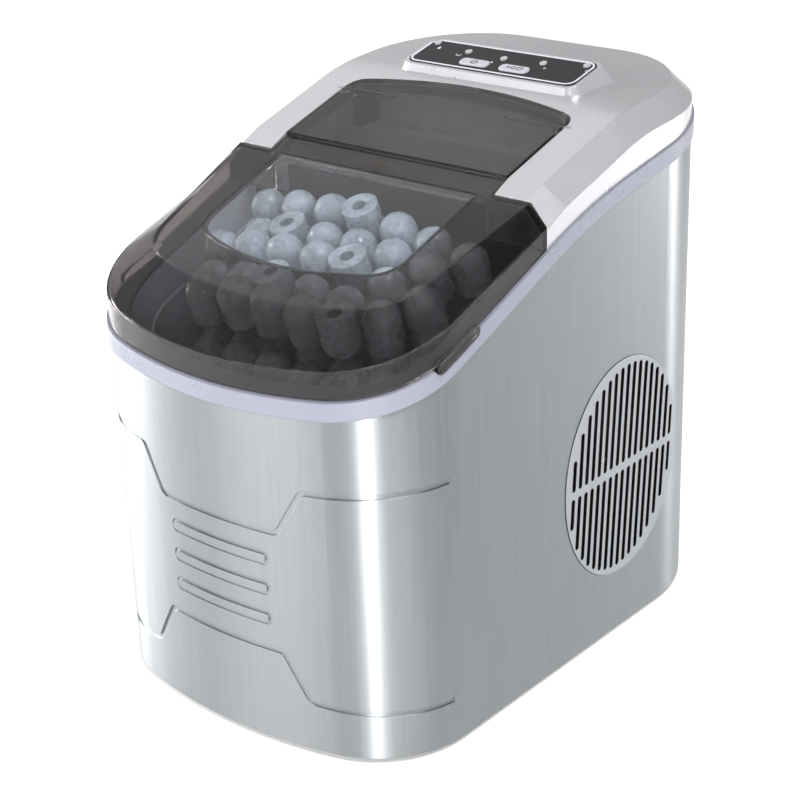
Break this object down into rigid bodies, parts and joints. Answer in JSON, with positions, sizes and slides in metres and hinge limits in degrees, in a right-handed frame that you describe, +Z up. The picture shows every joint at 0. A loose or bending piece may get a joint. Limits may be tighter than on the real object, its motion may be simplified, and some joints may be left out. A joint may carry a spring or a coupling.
{
  "type": "countertop ice maker",
  "caption": "Countertop ice maker with a bowed silver casing, sloping smoked lid with a clear window over a heaped ice basket, top control panel and oval side grilles.",
  "frame": {"origin": "on the surface it stands on, under the middle of the casing's plan", "axes": "+Z up, the front with the bowed face and lid toward -Y, +X on the right seen from the front"},
  "size_m": [0.242, 0.357, 0.3392],
  "materials": {
    "silver_finish": "satin silver, brushed look",
    "silver_grille": "silver, satin",
    "trim_plastic": "pale lavender white, satin",
    "smoked_plastic": "smoked, glossy",
    "clear_window": "clear, glossy",
    "label_black": "black, glossy",
    "button_grey": "light grey",
    "lens_grey": "pale lens",
    "board_green": "circuit board",
    "black_rubber": "matte",
    "zinc_steel": "zinc plated",
    "white_plastic": "white",
    "light_liner": "light grey white, smooth",
    "foam": "foam",
    "clear_basket": "pale translucent",
    "ice": "frosted ice",
    "nickel_plate": "bright plated",
    "dark_plastic": "black",
    "black_enamel": "black enamel",
    "copper": "copper tube",
    "fin_aluminium": "thin fins and tube",
    "clear_hose": "silicone hose",
    "motor_steel": "plated motor can",
    "silver_top": "silver painted, satin",
    "white_float": "white foam float",
    "cap_grey": "silver grey",
    "fan_plastic": "dark grey"
  },
  "bodies": {
    "casing": {"base_pan": "zinc_steel", "rubber_feet": "black_rubber", "front_cover": "silver_finish", "rear_cover": "silver_finish", "right_grille": "silver_grille", "left_grille": "silver_grille", "rim_trim": "trim_plastic", "top_cover": "silver_top", "hinge_pins": "zinc_steel", "control_label": "label_black", "status_lights": "lens_grey", "display_board": "board_green", "board_posts": "white_plastic", "inner_liner": "light_liner", "liner_insulation": "foam", "tray_motor": "motor_steel", "tray_bearing": "white_plastic", "evaporator": "nickel_plate", "pusher_rods": "zinc_steel", "splash_guard": "light_liner", "splash_curtain": "dark_plastic", "ice_sensors": "dark_plastic", "float_stem": "white_plastic", "water_pump": "dark_plastic", "pump_hose": "clear_hose", "drain_pipe": "white_plastic", "compressor": "black_enamel", "compressor_grommets": "black_rubber", "compressor_bolts": "zinc_steel", "terminal_cover": "dark_plastic", "condenser": "fin_aluminium", "filter_drier": "copper", "hot_gas_valve": "motor_steel", "capillary": "copper", "liquid_line": "copper", "discharge_line": "copper", "feed_line": "copper", "suction_line": "copper", "fan_shroud": "dark_plastic", "fan_motor": "motor_steel", "main_board": "board_green", "board_standoffs": "white_plastic", "power_inlet": "dark_plastic", "cover_screws": "zinc_steel"},
    "lid": {"lid_shell": "smoked_plastic", "lid_window": "clear_window"},
    "on_off": {"on_off_button": "button_grey"},
    "select": {"select_button": "button_grey"},
    "basket": {"ice_basket": "clear_basket", "ice_pieces": "ice"},
    "tray": {"water_tray": "white_plastic", "tray_shafts": "zinc_steel"},
    "pusher": {"ice_pusher": "white_plastic"},
    "fan": {"fan_blade": "fan_plastic", "fan_shaft": "zinc_steel"},
    "float": {"level_float": "white_float"},
    "drain": {"drain_cap": "cap_grey", "drain_seal": "black_rubber"}
  },
  "joints": [
    {"name": "lid_hinge", "type": "hinge", "parent": "casing", "child": "lid", "pos_m": [0, 0.04, 0.317], "axis": [-1, 0, 0], "range_deg": [0, 110]},
    {"name": "on_off_press", "type": "slide", "parent": "casing", "child": "on_off", "axis": [0, 0.2297, -0.9733], "range_m": [0, 0.0008], "stiffness_N_per_m": 600},
    {"name": "select_press", "type": "slide", "parent": "casing", "child": "select", "axis": [0, 0.2297, -0.9733], "range_m": [0, 0.0008], "stiffness_N_per_m": 600},
    {"name": "basket_lift", "type": "slide", "parent": "casing", "child": "basket", "axis": [0, 0, 1], "range_m": [0, 0.004]},
    {"name": "tray_tilt", "type": "hinge", "parent": "casing", "child": "tray", "pos_m": [0, 0.022, 0.246], "axis": [1, 0, 0], "range_deg": [0, 60]},
    {"name": "pusher_slide", "type": "slide", "parent": "casing", "child": "pusher", "axis": [0, -1, 0], "range_m": [0, 0.014]},
    {"name": "fan_spin", "type": "hinge", "parent": "casing", "child": "fan", "pos_m": [0.098, 0.0493, 0.112], "axis": [1, 0, 0], "continuous": true},
    {"name": "float_slide", "type": "slide", "parent": "casing", "child": "float", "axis": [0, 0, 1], "range_m": [0, 0.012]},
    {"name": "drain_cap_turn", "type": "hinge", "parent": "casing", "child": "drain", "pos_m": [-0.119, -0.093, 0.034], "axis": [1, 0, 0], "range_deg": [0, 90]}
  ],
  "couplings": [
    {"joint": "pusher_slide", "follows": "tray_tilt", "m_per_rad": 0.01336}
  ]
}
